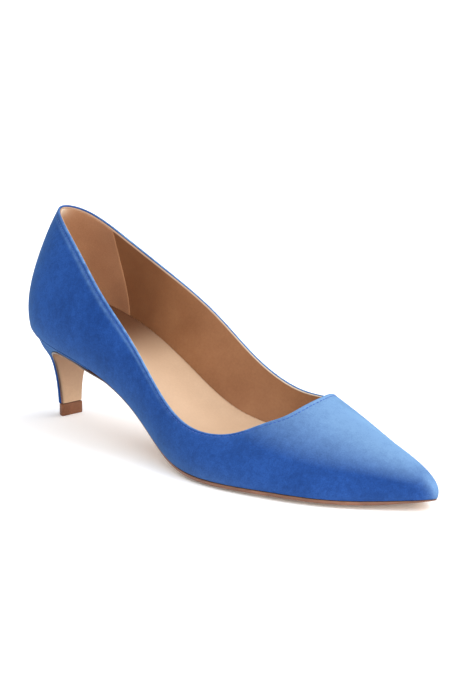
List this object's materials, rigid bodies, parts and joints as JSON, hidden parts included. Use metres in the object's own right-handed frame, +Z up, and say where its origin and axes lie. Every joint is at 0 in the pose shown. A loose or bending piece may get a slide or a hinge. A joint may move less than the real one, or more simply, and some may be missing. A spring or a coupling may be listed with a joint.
{
  "type": "pointed toe pump",
  "caption": "Right pointed toe pump in blue suede with a low covered heel, a tan leather lining and sock, and a thin leather sole.",
  "frame": {"origin": "bottom centre of the shoe's box, on the floor", "axes": "+X towards the toe, +Y towards the inner side, +Z up"},
  "size_m": [0.2472, 0.0712, 0.0979],
  "materials": {
    "suede": "napped blue suede",
    "sock": "smooth light tan leather",
    "sole": "smooth tan leather with a brown edge",
    "heel_cover": "napped blue suede",
    "top_piece": "matte brown"
  },
  "bodies": {
    "root": {"upper": "suede", "insole": "sock", "outsole": "sole", "heel": "heel_cover", "top_piece": "top_piece"}
  },
  "joints": []
}
